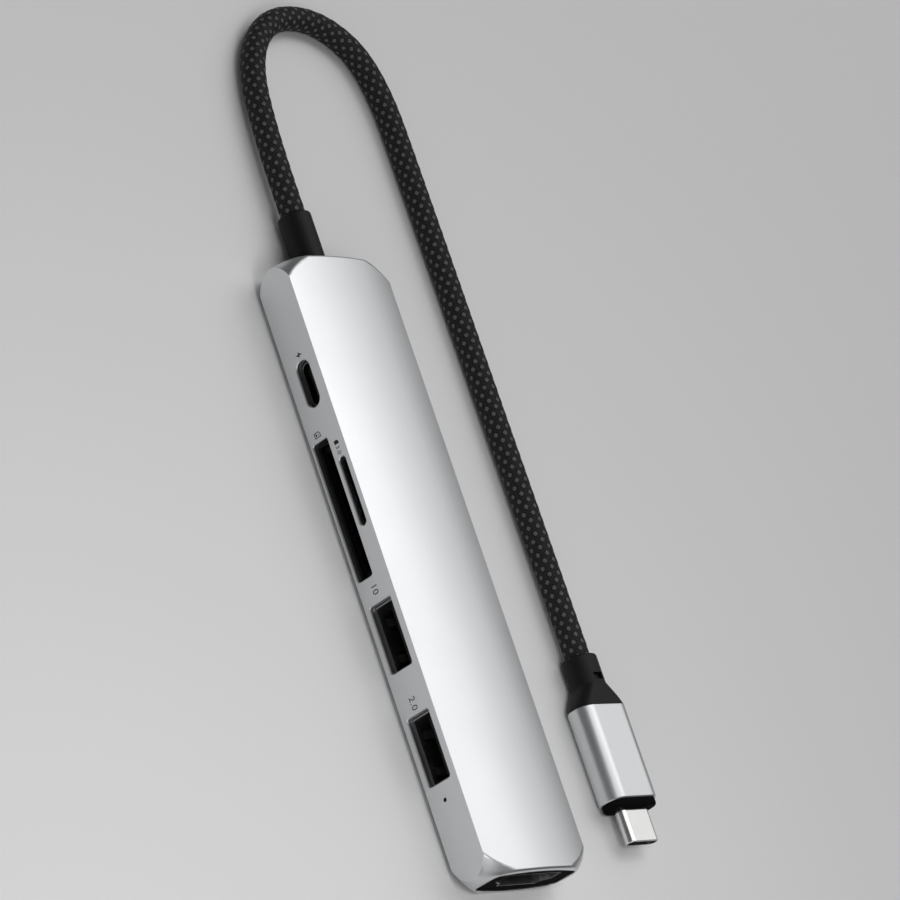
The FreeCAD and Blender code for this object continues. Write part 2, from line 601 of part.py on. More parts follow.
def chip(x, y, size, height, top=True):
    """Chip package: bevelled slab with a pin-one dimple."""
    z = BOARD_Z[1] if top else BOARD_Z[0] - height
    body = block(x, y, z, (size, size, height))
    face_z = z + height if top else z
    rim = [e for e in body.Edges if abs(e.CenterOfMass.z - face_z) < 0.01]
    body = body.makeChamfer(0.12, rim)
    dimple = Part.makeCylinder(0.35, 0.2, V(x - size / 2 + 1, y - size / 2 + 1, face_z - 0.1))
    return body.cut(dimple)


def board_parts():
    """Chips, crystals, capacitors, inductors, thermal pad and the status light."""
    export("hub_controller", chip(24.6, 5.0, 7.6, 0.9))
    export("video_chip", chip(43.6, 6.1, 5.8, 0.9))
    export("power_chip", chip(-31.0, 3.0, 5.0, 0.8))
    export("card_reader_chip", chip(0.5, 3.0, 5.0, 0.8))
    export("thermal_pad", block(24.6, 5.0, BOARD_Z[1] + 0.9, (6.4, 6.4, 2.1)))
    crystals = []
    for x, y in ((16.8, 5.4), (36.2, 5.4), (6.0, 4.0)):
        can = block(x, y, BOARD_Z[1], (3.2, 2.5, 0.7))
        crystals.append(can.makeFillet(0.3, [e for e in can.Edges if e.BoundBox.ZLength > 0.5]))
    export("crystals", *crystals)
    capacitors = []
    for x, y in ((-45.0, -7.0), (-45.0, -4.6), (-30.0, -9.0), (-30.0, -6.6), (-27.0, -9.0),
                 (-27.0, -6.6), (-2.0, -8.0), (0.6, -8.0), (3.2, -8.0), (24.6, -8.4),
                 (24.6, -5.8), (24.6, -3.2), (31.0, 7.6), (33.6, 7.6), (9.5, 7.4), (12.1, 7.4)):
        body = block(x, y, BOARD_Z[1], (1.8, 1.1, 0.9))
        capacitors.append(body.makeFillet(0.12, [e for e in body.Edges if e.BoundBox.ZLength > 0.5]))
    export("capacitors", *capacitors)
    inductors = []
    for x, y in ((-40.0, 3.0), (-24.0, 5.6), (47.0, -4.4)):
        body = block(x, y, BOARD_Z[1], (4.0, 4.0, 1.8))
        inductors.append(body.makeFillet(0.5, [e for e in body.Edges if e.BoundBox.ZLength > 1]))
    export("inductors", *inductors)
    lamp = block(LED[0], BOARD_Y[0] + 0.5, BOARD_Z[0] - 1.1, (1.6, 0.8, 1.1))
    export("status_led", lamp)
    pipe = rod(V(LED[0], PORT_Y + 0.35, LED[1]), V(LED[0], BOARD_Y[0] + 0.08, LED[1]), LED[2] - 0.1)
    export("light_pipe", pipe)


# ---- cord -----------------------------------------------------------------------------------
def cord():
    """Plain round lead: straight runs joined by tangent arcs."""
    points = [V(*p) for p in CORD_POINTS]
    edges = []
    here = points[0]
    for i in range(1, len(points) - 1):
        back = points[i - 1].sub(points[i])
        ahead = points[i + 1].sub(points[i])
        turn = math.pi - back.getAngle(ahead)
        reach = 0.45 * min(back.Length, ahead.Length)
        radius = reach / math.tan(turn / 2)
        back.normalize()
        ahead.normalize()
        into = points[i] + back * reach
        out = points[i] + ahead * reach
        inward = (back + ahead).normalize()
        middle = points[i] + inward * (radius / math.cos(turn / 2) - radius)
        edges.append(Part.LineSegment(here, into).toShape())
        edges.append(Part.Arc(into, middle, out).toShape())
        here = out
        print("cord turn %.1f degrees, radius %.1f" % (math.degrees(turn), radius))
    edges.append(Part.LineSegment(here, points[-1]).toShape())
    path = Part.Wire(edges)
    direction = points[1].sub(points[0])
    section = Part.Wire(Part.makeCircle(CORD_D / 2, points[0], direction))
    tube = path.makePipeShell([section], True, False)
    expected = path.Length * math.pi * CORD_D ** 2 / 4
    print("cord length %.1f, volume %.1f, expected %.1f" % (path.Length, tube.Volume, expected))
    export("cord", tube)


# ---- plug -----------------------------------------------------------------------------------
def plug_boot():
    """Moulded boot that swells from the round cord to the flat plug body."""
    round_part = along_x(rounded_outline(BOOT_D + 0.7, BOOT_D, BOOT_D / 2 - 0.05),
                         PLUG_BOOT_X, PLUG_FLARE_X, PLUG_Y, PLUG_Z)
    mouth = [e for e in round_part.Edges if abs(e.CenterOfMass.x - PLUG_BOOT_X) < 0.01]
    round_part = round_part.makeFillet(0.5, mouth)
    sections = []
    for x, width, height, radius in FLARE_SECTIONS:
        outline = rounded_outline(width, height, radius)
        outline.Placement = FreeCAD.Placement(V(x, PLUG_Y, PLUG_Z),
                                              FreeCAD.Rotation(V(1, 1, 1), 120))
        sections.append(outline)
    flare = Part.makeLoft(sections, True, False)
    slot = box((22.2, 23.6), (PLUG_Y - 1.0, PLUG_Y + 1.4), (PLUG_Z + 2.4, PLUG_Z + 4))
    spigot = along_x(rounded_outline(11.4, 4.6, 1.9), SHELL_X[0], SHELL_X[0] + 1.9,
                     PLUG_Y, PLUG_Z)
    export("plug_strain_relief", round_part.cut(slot).fuse([flare, spigot]))


def plug():
    """USB-C plug: aluminium sleeve, black collar, chrome tongue and what is inside."""
    plug_boot()
    shell = along_x(rounded_outline(SHELL_W, SHELL_H, SHELL_CORNER), *SHELL_X, PLUG_Y, PLUG_Z)
    rims = [e for e in shell.Edges if e.BoundBox.XLength < 0.01]
    shell = shell.makeChamfer(0.2, rims)
    shell = shell.cut(along_x(rounded_outline(11.5, 4.7, 1.95), 20, 50, PLUG_Y, PLUG_Z))
    export("plug_shell", shell)
    metal_w, metal_h = PLUG_METAL
    hole = along_x(rounded_outline(metal_w + 0.1, metal_h + 0.1, metal_h / 2 + 0.05), 40, 60,
                   PLUG_Y, PLUG_Z)
    collar = along_x(rounded_outline(12.2, 5.5, 2.4), SHELL_X[1], COLLAR_X, PLUG_Y, PLUG_Z)
    rim = [e for e in collar.Edges if abs(e.BoundBox.XMin - COLLAR_X) < 0.01
           and e.BoundBox.XLength < 0.01]
    collar = collar.makeFillet(0.6, rim)
    spigot = along_x(rounded_outline(11.4, 4.6, 1.9), SHELL_X[1] - 3.0, SHELL_X[1],
                     PLUG_Y, PLUG_Z)
    export("plug_collar", collar.fuse(spigot).cut(hole))
    metal = along_x(rounded_outline(metal_w, metal_h, metal_h / 2), 42.0, PLUG_TIP_X,
                    PLUG_Y, PLUG_Z)
    tip = [e for e in metal.Edges if abs(e.BoundBox.XMin - PLUG_TIP_X) < 0.01
           and e.BoundBox.XLength < 0.01]
    metal = metal.makeFillet(0.15, tip)
    metal = metal.cut(along_x(rounded_outline(metal_w - 0.5, metal_h - 0.5, 0.95), 30, 60,
                              PLUG_Y, PLUG_Z))
    export("plug_tongue_shell", metal)
    insert = along_x(rounded_outline(metal_w - 0.6, metal_h - 0.6, 0.85), 41.6, PLUG_TIP_X - 0.4,
                     PLUG_Y, PLUG_Z)
    mouth = along_x(rounded_outline(6.9, 0.9, 0.2), COLLAR_X + 0.2, 60, PLUG_Y, PLUG_Z)
    export("plug_contact_insert", insert.cut(mouth))
    contacts = []
    for i in range(12):
        y = PLUG_Y + 0.5 * (i - 5.5)
        for low, high in ((0.3, 0.45), (-0.45, -0.3)):
            contacts.append(box((COLLAR_X + 0.6, PLUG_TIP_X - 1.2), (y - 0.125, y + 0.125),
                                (PLUG_Z + low, PLUG_Z + high)))
        for low, high in ((0.4, 0.52), (-0.52, -0.4)):
            contacts.append(box((40.2, 41.6), (y - 0.12, y + 0.12), (PLUG_Z + low, PLUG_Z + high)))
    export("plug_contacts", *contacts)
    latches = [box((COLLAR_X + 1.0, PLUG_TIP_X - 1.6), sorted((PLUG_Y + s * 3.33, PLUG_Y + s * 3.45)),
                   (PLUG_Z - 0.25, PLUG_Z + 0.25)) for s in (-1, 1)]
    export("plug_latches", *latches)
    export("plug_board", box((32.0, 41.5), (PLUG_Y - 4.4, PLUG_Y + 4.4), (PLUG_Z - 0.4, PLUG_Z + 0.4)))
    export("plug_marker_chip", block(36.5, PLUG_Y, PLUG_Z + 0.4, (3.0, 3.0, 0.8)))
    wires = []
    for y in (-3.0, -1.0, 1.0, 3.0):
        for z in (0.4 + WIRE_D / 2, -0.4 - WIRE_D / 2):
            wires.append(rod(V(SHELL_X[0] + 1.9, PLUG_Y + y, PLUG_Z + z),
                             V(33.6, PLUG_Y + y, PLUG_Z + z), WIRE_D))
    export("plug_wires", *wires)


def build():
    casing()
    cable_end()
    cable_inside()
    usb_a("usb_a_fast", USB_A_FAST[0], USB_A_FAST[1], True)
    usb_a("usb_a_slow", USB_A_SLOW[0], USB_A_SLOW[1], False)
    usb_c_port()
    sd_socket()
    micro_sd_socket()
    hdmi_end()
    main_board()
    board_parts()
    cord()
    plug()


build()
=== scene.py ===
"""Looks of the usb hub: satin anodised bar and plug, black end caps and boots, braided lead."""

import math

import bmesh
import bpy
from mathutils import Matrix, Vector


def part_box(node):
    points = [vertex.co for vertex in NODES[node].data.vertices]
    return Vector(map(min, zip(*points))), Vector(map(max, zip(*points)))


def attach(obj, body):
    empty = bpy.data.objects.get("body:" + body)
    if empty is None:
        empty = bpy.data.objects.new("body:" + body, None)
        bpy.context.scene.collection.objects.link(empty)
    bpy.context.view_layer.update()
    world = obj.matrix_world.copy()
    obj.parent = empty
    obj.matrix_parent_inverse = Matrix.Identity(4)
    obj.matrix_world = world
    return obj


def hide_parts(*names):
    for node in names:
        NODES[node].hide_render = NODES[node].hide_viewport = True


MM = 0.001

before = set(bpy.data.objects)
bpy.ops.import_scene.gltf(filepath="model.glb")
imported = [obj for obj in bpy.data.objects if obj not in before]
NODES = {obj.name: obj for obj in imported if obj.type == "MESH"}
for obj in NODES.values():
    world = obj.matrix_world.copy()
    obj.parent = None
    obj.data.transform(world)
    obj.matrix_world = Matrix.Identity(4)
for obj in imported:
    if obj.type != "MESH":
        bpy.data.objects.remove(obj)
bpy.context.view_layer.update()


# ---- camera ---------------------------------------------------------------------------------
LENS = 179.5                    # on a 36 mm sensor
AIM = (-27.65, 25.97, 0.0)      # the point on the table in the middle of the view, mm
DISTANCE = 862.4                # from there to the camera, mm
TURN = 23.45                    # degrees round from the port face, towards the HDMI end
RISE = 37.45                    # degrees above the table
ROLL = -56.23                   # degrees about the line of sight


def make_camera():
    """Long lens, looking down on the port face and the HDMI end, rolled to stand the bar up."""
    data = bpy.data.cameras.new("camera")
    data.lens = LENS
    data.sensor_width = 36.0
    data.clip_start = 0.05
    data.clip_end = 20.0
    camera = bpy.data.objects.new("camera", data)
    bpy.context.scene.collection.objects.link(camera)
    turn, rise, roll = (math.radians(angle) for angle in (TURN, RISE, ROLL))
    back = Vector((math.sin(turn) * math.cos(rise), -math.cos(turn) * math.cos(rise),
                   math.sin(rise)))
    right = Vector((0, 0, 1)).cross(back).normalized()
    up = back.cross(right)
    rolled_up = up * math.cos(roll) + right * math.sin(roll)
    rolled_right = rolled_up.cross(back)
    axes = Matrix((rolled_right, rolled_up, back)).transposed()
    place = (Vector(AIM) + back * DISTANCE) * MM
    camera.matrix_world = Matrix.Translation(place) @ axes.to_4x4()
    bpy.context.scene.camera = camera


make_camera()


# ---- small helpers --------------------------------------------------------------------------
def new_object(name, mesh):
    """Link a mesh that rides on the hub."""
    obj = bpy.data.objects.new(name, mesh)
    bpy.context.scene.collection.objects.link(obj)
    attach(obj, "hub")
    return obj


def shader(name, color, metallic=0.0, roughness=0.5, **more):
    """A node material; returns (material, nodes, links, principled shader)."""
    mat = bpy.data.materials.new(name)
    mat.use_nodes = True
    nodes = mat.node_tree.nodes
    links = mat.node_tree.links
    bsdf = nodes["Principled BSDF"]
    bsdf.inputs["Base Color"].default_value = (*color, 1.0)
    bsdf.inputs["Metallic"].default_value = metallic
    bsdf.inputs["Roughness"].default_value = roughness
    for key, value in more.items():
        bsdf.inputs[key.replace("_", " ")].default_value = value
    return mat, nodes, links, bsdf


def coords(nodes, links, scale=(1.0, 1.0, 1.0)):
    """Object coordinates, scaled."""
    tex = nodes.new("ShaderNodeTexCoord")
    mapping = nodes.new("ShaderNodeMapping")
    mapping.inputs["Scale"].default_value = scale
    links.new(tex.outputs["Object"], mapping.inputs["Vector"])
    return mapping.outputs["Vector"]


def noise(nodes, links, vector, scale, detail=2.0, rough=0.5):
    """Soft noise; a scale of 1000 makes grains of about a millimetre."""
    tex = nodes.new("ShaderNodeTexNoise")
    tex.inputs["Scale"].default_value = scale
    tex.inputs["Detail"].default_value = detail
    tex.inputs["Roughness"].default_value = rough
    links.new(vector, tex.inputs["Vector"])
    return tex.outputs["Fac"]


def spread(nodes, links, value, low, high, start=0.3, stop=0.7):
    """Map start..stop to low..high, held at both ends."""
    node = nodes.new("ShaderNodeMapRange")
    node.inputs["From Min"].default_value = start
    node.inputs["From Max"].default_value = stop
    node.inputs["To Min"].default_value = low
    node.inputs["To Max"].default_value = high
    links.new(value, node.inputs["Value"])
    return node.outputs["Result"]


def mix_color(nodes, links, value, dark, light):
    """A colour between dark (value 0) and light (value 1)."""
    node = nodes.new("ShaderNodeMix")
    node.data_type = "RGBA"
    node.inputs["A"].default_value = (*dark, 1.0)
    node.inputs["B"].default_value = (*light, 1.0)
    links.new(value, node.inputs["Factor"])
    return node.outputs["Result"]


def math_node(nodes, links, kind, *values):
    """A math node fed with numbers or with other nodes' results."""
    node = nodes.new("ShaderNodeMath")
    node.operation = kind
    for socket, value in zip(node.inputs, values):
        if isinstance(value, (int, float)):
            socket.default_value = value
        else:
            links.new(value, socket)
    return node.outputs[0]


def bump(nodes, links, height, bsdf, distance, strength):
    """Relief of a height (0 to 1) over a distance in metres."""
    node = nodes.new("ShaderNodeBump")
    node.inputs["Distance"].default_value = distance
    node.inputs["Strength"].default_value = strength
    links.new(height, node.inputs["Height"])
    links.new(node.outputs["Normal"], bsdf.inputs["Normal"])


def satin_aluminium(name, base=0.7, rough=0.34):
    """Bead-blasted, anodised: fine, slightly cool sparkle in tone and bump, slow drift in gloss."""
    mat, nodes, links, bsdf = shader(name, (base, base, base), 1.0, rough)
    dark = (base * 0.94, base * 0.955, base * 0.975)
    light = (base * 1.03, base * 1.04, base * 1.055)
    at = coords(nodes, links)
    fine = noise(nodes, links, at, scale=5200.0, detail=3.0, rough=0.6)
    slow = noise(nodes, links, at, scale=45.0)
    sparkle = spread(nodes, links, fine, 0.0, 1.0, start=0.25, stop=0.75)
    links.new(mix_color(nodes, links, sparkle, dark, light), bsdf.inputs["Base Color"])
    links.new(spread(nodes, links, slow, rough - 0.02, rough + 0.03), bsdf.inputs["Roughness"])
    bump(nodes, links, fine, bsdf, distance=0.006 * MM, strength=0.5)
    return mat


def moulded(name, color, rough, grain=2600.0, depth=0.01 * MM, **more):
    """Moulded plastic or rubber: a faint grain of this scale and depth."""
    mat, nodes, links, bsdf = shader(name, color, 0.0, rough, **more)
    at = coords(nodes, links)
    fine = noise(nodes, links, at, scale=grain)
    links.new(spread(nodes, links, fine, rough - 0.05, rough + 0.06), bsdf.inputs["Roughness"])
    dark = tuple(c * 0.85 for c in color)
    light = tuple(min(1.0, c * 1.25 + 0.001) for c in color)
    links.new(mix_color(nodes, links, fine, dark, light), bsdf.inputs["Base Color"])
    bump(nodes, links, fine, bsdf, distance=depth, strength=0.6)
    return mat


DRAWN_X = (0.2, 1.0, 1.0)       # noise stretched along X
DRAWN_Y = (1.0, 0.2, 1.0)       # noise stretched along Y
EVEN = (1.0, 1.0, 1.0)


def plated(name, color, rough, streak=EVEN):
    """Plated or drawn sheet metal: fine streaks."""
    mat, nodes, links, bsdf = shader(name, color, 1.0, rough)
    at = coords(nodes, links, streak)
    fine = noise(nodes, links, at, scale=2500.0, detail=3.0)
    links.new(spread(nodes, links, fine, rough - 0.05, rough + 0.08), bsdf.inputs["Roughness"])
    dark = tuple(c * 0.9 for c in color)
    links.new(mix_color(nodes, links, fine, dark, color), bsdf.inputs["Base Color"])
    bump(nodes, links, fine, bsdf, distance=0.004 * MM, strength=0.4)
    return mat


def board_green(name):
    """Solder mask over copper: a net of raised tracks."""
    mat, nodes, links, bsdf = shader(name, (0.01, 0.09, 0.04), 0.0, 0.3)
    at = coords(nodes, links)
    brick = nodes.new("ShaderNodeTexBrick")
    brick.inputs["Scale"].default_value = 420.0
    brick.inputs["Mortar Size"].default_value = 0.04
    brick.inputs["Color1"].default_value = (0.008, 0.075, 0.03, 1)
    brick.inputs["Color2"].default_value = (0.012, 0.1, 0.045, 1)
    brick.inputs["Mortar"].default_value = (0.03, 0.2, 0.09, 1)
    links.new(at, brick.inputs["Vector"])
    links.new(brick.outputs["Color"], bsdf.inputs["Base Color"])
    bump(nodes, links, brick.outputs["Fac"], bsdf, distance=0.02 * MM, strength=0.5)
    return mat


# ---- materials of the CAD nodes -------------------------------------------------------------
ALUMINIUM = satin_aluminium("satin_aluminium")
CAP_BLACK = moulded("cap_black", (0.006, 0.006, 0.0064), rough=0.45, grain=1800.0,
                    depth=0.004 * MM, Specular_IOR_Level=0.002)
RUBBER = moulded("soft_black", (0.0075, 0.0075, 0.008), rough=0.46, grain=3200.0,
                 depth=0.014 * MM, Specular_IOR_Level=0.2)
MOULDED_BLACK = moulded("moulded_black", (0.006, 0.006, 0.0065), rough=0.42,
                        Specular_IOR_Level=0.15)
PIN_HOLE = moulded("light_guide", (0.012, 0.012, 0.0125), rough=0.3, Specular_IOR_Level=0.1)
CHIP = moulded("chip_epoxy", (0.02, 0.02, 0.021), rough=0.48, grain=4200.0)
CERAMIC = moulded("ceramic", (0.42, 0.29, 0.17), rough=0.4, grain=3000.0)
IVORY = moulded("ivory_plastic", (0.62, 0.58, 0.48), rough=0.45)
PAD = moulded("thermal_pad", (0.25, 0.36, 0.5), rough=0.75, grain=1500.0, depth=0.03 * MM)
WIRE = moulded("wire_insulation", (0.45, 0.05, 0.035), rough=0.45)
CLEAR = moulded("clear_guide", (0.85, 0.87, 0.9), rough=0.12, grain=900.0, depth=0.002 * MM,
                Transmission_Weight=0.6)
CHROME = plated("bright_plating", (0.86, 0.86, 0.85), rough=0.12, streak=DRAWN_X)
# Steel grey darkened well below bare steel: painted shade, so the insides of the ports read dark.
# The same darkened steel also goes on the crystals, crimp, latches and spring.
STEEL_PAINTED_SHADE = plated("socket_steel", (0.2, 0.2, 0.2), rough=0.32, streak=DRAWN_Y)
HDMI_STEEL = plated("hdmi_steel", (0.42, 0.42, 0.43), rough=0.34, streak=DRAWN_X)
USB_STEEL = plated("usb_steel", (0.36, 0.36, 0.37), rough=0.36, streak=DRAWN_Y)
GOLD = plated("gold_contacts", (0.5, 0.37, 0.17), rough=0.3)
GREEN = board_green("board_green")

BY_NODE = {
    "casing": ALUMINIUM,
    "plug_shell": ALUMINIUM,
    "hdmi_end_cap": CAP_BLACK,
    "cable_end_cap": CAP_BLACK,
    "plug_collar": CAP_BLACK,
    "hub_strain_relief": RUBBER,
    "plug_strain_relief": RUBBER,
    "plug_tongue_shell": CHROME,
    "hdmi_shell": HDMI_STEEL,
    "usb_a_fast_shell": USB_STEEL,
    "usb_a_slow_shell": USB_STEEL,
    "crystals": STEEL_PAINTED_SHADE,
    "cable_crimp": STEEL_PAINTED_SHADE,
    "microsd_spring": STEEL_PAINTED_SHADE,
    "plug_latches": STEEL_PAINTED_SHADE,
    "main_board": GREEN,
    "plug_board": GREEN,
    "capacitors": CERAMIC,
    "microsd_slider": IVORY,
    "thermal_pad": PAD,
    "cable_wires": WIRE,
    "plug_wires": WIRE,
    "light_pipe": PIN_HOLE,
    "status_led": CLEAR,
}


def paint(node):
    """The material a CAD node gets."""
    if node in BY_NODE:
        return BY_NODE[node]
    if node.endswith("_contacts"):
        return GOLD
    # port shells and socket covers get the steel darkened with painted shade
    if node.endswith(("_shell", "_cover")):
        return STEEL_PAINTED_SHADE
    if node.endswith(("_chip", "_controller")):
        return CHIP
    return MOULDED_BLACK


for name, obj in NODES.items():
    obj.data.materials.clear()
    obj.data.materials.append(paint(name))


# ---- lead -----------------------------------------------------------------------------------
CORD_D = 5.0 * MM
ROUTE = [                       # the centre line's control points, mm, hub to plug
    (-74.7, 0.0, 3.8), (-91.0, 0.0, 3.6), (-110.1, 3.1, 2.95), (-120.9, 13.2, 2.75),
    (-121.2, 28.0, 2.65), (-110.9, 38.4, 2.6), (-82.0, 38.65, 2.55), (-31.5, 38.4, 2.7),
    (18.1, 37.75, 3.3),
]


def route_curve():
    """The lead's centre line as a smooth spline through the route."""
    data = bpy.data.curves.new("lead_line", "CURVE")
    data.dimensions = "3D"
    data.resolution_u = 48
    spline = data.splines.new("NURBS")
    spline.points.add(len(ROUTE) - 1)
    for point, place in zip(spline.points, ROUTE):
        point.co = (*(Vector(place) * MM), 1.0)
    spline.order_u = 3
    spline.use_endpoint_u = True
    return data


def line_points(data):
    """Points along a curve, as Blender works them out."""
    holder = bpy.data.objects.new("line_holder", data)
    bpy.context.scene.collection.objects.link(holder)
    bpy.context.view_layer.update()
    mesh = bpy.data.meshes.new_from_object(holder)
    points = [v.co.copy() for v in mesh.vertices]
    bpy.data.objects.remove(holder)
    bpy.data.meshes.remove(mesh)
    return points


def resample(points, step):
    """Evenly spaced points along a polyline; returns them and the total length."""
    lengths = [0.0]
    for a, b in zip(points, points[1:]):
        lengths.append(lengths[-1] + (b - a).length)
    total = lengths[-1]
    count = max(2, round(total / step))
    out = []
    j = 0
    for i in range(count + 1):
        want = total * i / count
        while j < len(lengths) - 2 and lengths[j + 1] < want:
            j += 1
        span = lengths[j + 1] - lengths[j]
        out.append(points[j].lerp(points[j + 1], (want - lengths[j]) / span))
    return out, total


def frames_along(points):
    """Twist-free (point, side, up) along the points, with up near +Z."""
    frames = []
    for i, point in enumerate(points):
        ahead = points[min(i + 1, len(points) - 1)] - points[max(i - 1, 0)]
        ahead.normalize()
        side = ahead.cross(Vector((0, 0, 1))).normalized()
        frames.append((point, side, side.cross(ahead).normalized()))
    return frames


BRAID_AROUND = 8                # cells of the weave round the lead
BRAID_ROW = 1.435 * MM          # from one row of cells to the next
BRAID_RELIEF = 0.09 * MM        # from the strands' crowns down to their crossings
RING_STEP = 0.125 * MM          # from one ring of the mesh to the next
RING_SIDES = 96
CROWN_SHAPE = 0.7               # under 1 makes the strands' crowns flatter


def weave(turn, row):
    """Height of the weave, 0 to 1, at a place counted in cells round and along the lead."""
    one_way = abs(math.sin(math.pi * (turn + (row - 0.5) / 2)))
    other_way = abs(math.sin(math.pi * (turn - (row - 0.5) / 2)))
    return (one_way * other_way) ** CROWN_SHAPE


def braided_tube(points, total):
    """Mesh of the lead; its UV counts cells of the weave round and along it."""
    last = len(points) - 1
    rows = [total * i / last / BRAID_ROW for i in range(last + 1)]
    turns = [BRAID_AROUND * k / RING_SIDES for k in range(RING_SIDES + 1)]
    verts = []
    for row, (point, side, up) in zip(rows, frames_along(points)):
        for turn in turns[:-1]:
            radius = CORD_D / 2 - BRAID_RELIEF * (1.0 - weave(turn, row))
            angle = 2 * math.pi * turn / BRAID_AROUND
            verts.append(point + (side * math.cos(angle) + up * math.sin(angle)) * radius)
    faces = []
    uvs = []
    for i in range(last):
        here, there = i * RING_SIDES, (i + 1) * RING_SIDES
        for k in range(RING_SIDES):
            n = (k + 1) % RING_SIDES
            faces.append((here + k, here + n, there + n, there + k))
            uvs += [(turns[k], rows[i]), (turns[k + 1], rows[i]),
                    (turns[k + 1], rows[i + 1]), (turns[k], rows[i + 1])]
    faces.append(tuple(range(RING_SIDES)))
    faces.append(tuple(last * RING_SIDES + k for k in reversed(range(RING_SIDES))))
    uvs += [(0.0, 0.0)] * (2 * RING_SIDES)
    mesh = bpy.data.meshes.new("lead")
    mesh.from_pydata(verts, [], faces)
    layer = mesh.uv_layers.new(name="braid")
    for loop, uv in zip(layer.data, uvs):
        loop.uv = uv
    mesh.polygons.foreach_set("use_smooth", [True] * len(mesh.polygons))
    mesh.update()
    return mesh


FLECK_AROUND = 4.0              # one over a fleck's half width, in cells
FLECK_ALONG = 2.7               # one over its half length, in cells
FLECK_ROUND = 1.25              # 1 is a diamond, 2 is an oval
FLECK_EDGE = (0.82, 1.12)       # a fleck fades out between these reaches
SEAM_REACH = 1.45               # reach at which the dark seam between two strands lies
SEAM_EDGE = (0.02, 0.4)         # the seam fades out between these distances from it
STRAND_SHADE = 0.16             # of the strands away from seams and flecks


def off_middle(nodes, links, count, stretch):
    """How far a count of cells is from the middle of its cell, stretched and rounded off."""
    part = math_node(nodes, links, "FRACT", count)
    off = math_node(nodes, links, "ABSOLUTE", math_node(nodes, links, "SUBTRACT", part, 0.5))
    stretched = math_node(nodes, links, "MULTIPLY", off, stretch)
    return math_node(nodes, links, "POWER", stretched, FLECK_ROUND)


def fleck_pattern(nodes, links):
    """1 on the fleck of each cell, rows staggered by half; faint between them, 0 on the seams."""
    uv = nodes.new("ShaderNodeUVMap")
    uv.uv_map = "braid"
    split = nodes.new("ShaderNodeSeparateXYZ")
    links.new(uv.outputs["UV"], split.inputs["Vector"])
    turn, row = split.outputs["X"], split.outputs["Y"]
    odd = math_node(nodes, links, "MODULO", math_node(nodes, links, "FLOOR", row), 2.0)
    stagger = math_node(nodes, links, "MULTIPLY", odd, 0.5)
    staggered = math_node(nodes, links, "ADD", turn, stagger)
    reach = math_node(nodes, links, "ADD", off_middle(nodes, links, staggered, FLECK_AROUND),
                      off_middle(nodes, links, row, FLECK_ALONG))
    fleck = spread(nodes, links, reach, 1.0, 0.0, *FLECK_EDGE)
    past_seam = math_node(nodes, links, "SUBTRACT", reach, SEAM_REACH)
    from_seam = math_node(nodes, links, "ABSOLUTE", past_seam)
    strands = spread(nodes, links, from_seam, 0.0, STRAND_SHADE, *SEAM_EDGE)
    return math_node(nodes, links, "MAXIMUM", fleck, strands)


def braid_material():
    """Black yarn with grey flecks, fuzzy and finely twisted."""
    mat, nodes, links, bsdf = shader("braid_yarn", (0.012, 0.012, 0.0125), 0.0, 0.6,
                                     Specular_IOR_Level=0.12)
    at = coords(nodes, links)
    yarn = nodes.new("ShaderNodeTexWave")
    yarn.inputs["Scale"].default_value = 1600.0
    yarn.inputs["Distortion"].default_value = 1.5
    links.new(at, yarn.inputs["Vector"])
    fuzz = noise(nodes, links, at, scale=3500.0, detail=3.0)
    shade = math_node(nodes, links, "MULTIPLY", fleck_pattern(nodes, links),
                      spread(nodes, links, fuzz, 0.6, 1.0))
    tone = mix_color(nodes, links, shade, dark=(0.006, 0.006, 0.0064), light=(0.135, 0.135, 0.14))
    links.new(tone, bsdf.inputs["Base Color"])
    twist = math_node(nodes, links, "MULTIPLY", yarn.outputs["Fac"], 0.5)
    bump(nodes, links, math_node(nodes, links, "ADD", twist, fuzz), bsdf,
         distance=0.03 * MM, strength=0.6)
    return mat


lead_points, lead_total = resample(line_points(route_curve()), RING_STEP)
lead = new_object("lead", braided_tube(lead_points, lead_total))
lead.data.materials.append(braid_material())
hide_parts("cord")


# ---- printed marks on the port face -----------------------------------------------------------
PORT_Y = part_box("casing")[0][1]  # plane of the port face
MARK_Z = 5.5 * MM               # middle height of the port face
INK_THICK = 0.012 * MM
CAPITAL = 0.7                   # height of a numeral, in units of its font size


def beside(port, gap, rise):
    """The (x, z) this far short of a port's shell, and above mid height; gap and rise in mm."""
    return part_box(port)[0][0] - gap * MM, MARK_Z + rise * MM


def numerals(body, place, height):
    """A number as a thin mesh on the port face; place is the (x, z) of its lower left corner."""
    data = bpy.data.curves.new("numerals", "FONT")
    data.body = body
    data.size = height / CAPITAL
    data.extrude = INK_THICK
    data.space_character = 1.08
    holder = bpy.data.objects.new("numerals", data)
    bpy.context.scene.collection.objects.link(holder)
    bpy.context.view_layer.update()
    mesh = bpy.data.meshes.new_from_object(holder)
    upright = Matrix.Rotation(math.radians(90), 4, "X")
    mesh.transform(Matrix.Translation((place[0], PORT_Y, place[1])) @ upright)
    bpy.data.objects.remove(holder)
    return mesh


def pictogram(outlines, place, size):
    """Thin shapes from unit outlines (x, z), centred on place."""
    mesh = bpy.data.meshes.new("pictogram")
    bm = bmesh.new()
    for outline in outlines:
        ring = [bm.verts.new((place[0] + x * size, PORT_Y + INK_THICK, place[1] + z * size))
                for x, z in outline]
        face = bm.faces.new(ring)
        grown = bmesh.ops.extrude_face_region(bm, geom=[face])
        for vert in grown["geom"]:
            if isinstance(vert, bmesh.types.BMVert):
                vert.co.y = PORT_Y - INK_THICK
    bmesh.ops.recalc_face_normals(bm, faces=bm.faces)
    bm.to_mesh(mesh)
    bm.free()
    return mesh


